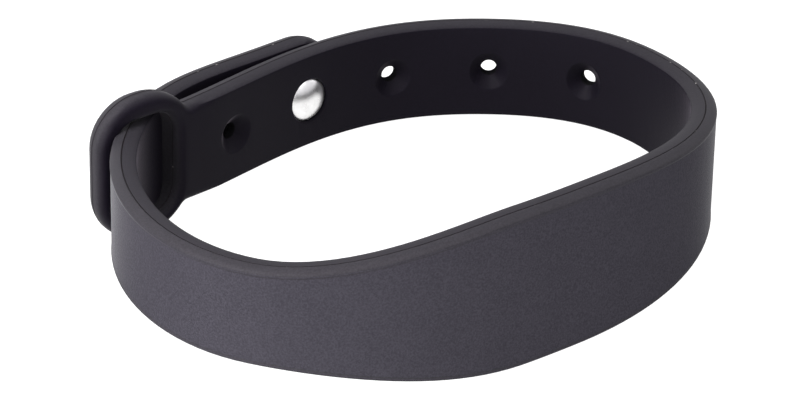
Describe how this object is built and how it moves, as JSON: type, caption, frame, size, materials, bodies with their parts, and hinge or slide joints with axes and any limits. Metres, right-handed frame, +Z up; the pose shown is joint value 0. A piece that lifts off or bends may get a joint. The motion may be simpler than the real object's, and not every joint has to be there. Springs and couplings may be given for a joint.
{
  "type": "nfc wristband",
  "caption": "Soft silicone wristband for a contactless tag, passed through its own loop, closed by a metal stud in a strap hole, and lying on its side.",
  "frame": {"origin": "middle of the underside of the bounding box of the closed band as it lies on its edges", "axes": "+X to the right along the closed band's longer way across, +Y from the wide head towards the back strap, +Z up"},
  "size_m": [0.0742, 0.0576, 0.0197],
  "materials": {
    "silicone": "matte",
    "steel": "satin"
  },
  "bodies": {
    "root": {"band": "silicone", "stud": "steel"}
  },
  "joints": []
}
